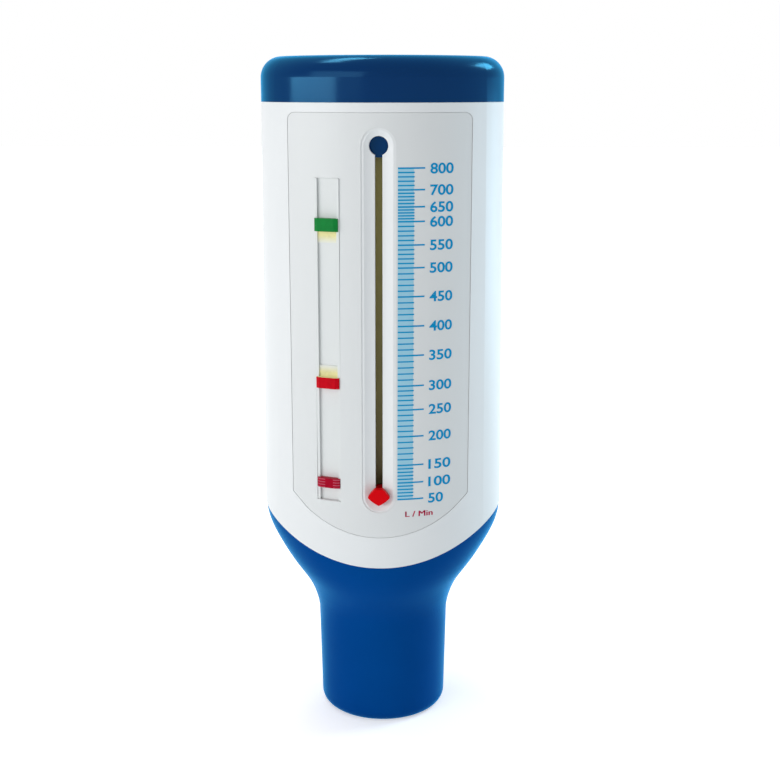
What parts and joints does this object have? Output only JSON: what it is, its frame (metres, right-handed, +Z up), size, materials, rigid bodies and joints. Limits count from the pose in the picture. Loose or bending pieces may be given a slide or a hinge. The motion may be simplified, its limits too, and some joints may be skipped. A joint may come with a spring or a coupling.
{
  "type": "peak flow meter",
  "caption": "Hand-held peak flow meter with an oval sleeve, sliding pointer beside a zone track, push-fit end cap and a round tapered mouthpiece.",
  "frame": {"origin": "centre of the mouthpiece bore at the plane of its lip", "axes": "+Z up along the flow tube's axis from the mouthpiece to the cap, scale and pointer towards -Y, zone markers towards -X"},
  "size_m": [0.0562, 0.0454, 0.1544],
  "materials": {
    "casing_plastic": "satin light grey moulding",
    "panel_film": "printed white film",
    "blue_plastic": "glossy blue moulding",
    "tube_plastic": "natural moulding",
    "seal_rubber": "matt",
    "inner_plastic": "natural acetal",
    "polished_steel": "polished",
    "spring_steel": "bright drawn",
    "piston_plastic": "satin",
    "rivet_aluminium": "plain",
    "pointer_red": "satin red moulding",
    "marker_green": "satin green moulding",
    "marker_amber": "satin moulding, pale yellow above and red below",
    "marker_red": "satin dark red moulding"
  },
  "bodies": {
    "housing": {"outer_casing": "casing_plastic", "scale_panel": "panel_film", "top_cap": "blue_plastic", "mouthpiece": "blue_plastic", "flow_tube": "tube_plastic", "inlet_gasket": "seal_rubber", "inlet_spider": "inner_plastic", "tube_bulkhead": "inner_plastic", "guide_rod": "polished_steel", "rod_clips": "spring_steel", "lower_stop": "seal_rubber", "spring_seat_washer": "inner_plastic", "upper_stop": "inner_plastic", "return_spring": "spring_steel", "marker_rail": "casing_plastic"},
    "piston": {"piston_disc": "piston_plastic", "piston_bush": "inner_plastic", "piston_push_nut": "spring_steel", "pusher_finger": "polished_steel", "finger_rivets": "rivet_aluminium"},
    "pointer_slider": {"pointer": "pointer_red", "pointer_friction_washer": "inner_plastic"},
    "green_marker": {"green_zone_marker": "marker_green"},
    "amber_marker": {"amber_zone_marker": "marker_amber"},
    "red_marker": {"red_zone_marker": "marker_red"}
  },
  "joints": [
    {"name": "piston_slide", "type": "slide", "parent": "housing", "child": "piston", "axis": [0, 0, 1], "range_m": [0, 0.0724], "stiffness_N_per_m": 8, "springref_m": -0.004, "deforming": ["return_spring"]},
    {"name": "pointer_slide", "type": "slide", "parent": "housing", "child": "pointer_slider", "axis": [0, 0, 1], "range_m": [0, 0.0724]},
    {"name": "green_marker_slide", "type": "slide", "parent": "housing", "child": "green_marker", "axis": [0, 0, 1], "range_m": [-0.0139, 0.0079]},
    {"name": "amber_marker_slide", "type": "slide", "parent": "housing", "child": "amber_marker", "axis": [0, 0, 1], "range_m": [-0.012, 0.0129]},
    {"name": "red_marker_slide", "type": "slide", "parent": "housing", "child": "red_marker", "axis": [0, 0, 1], "range_m": [-0.0026, 0.008]}
  ],
  "couplings": [
    {"joint": "pointer_slide", "follows": "piston_slide", "ratio": 1}
  ]
}
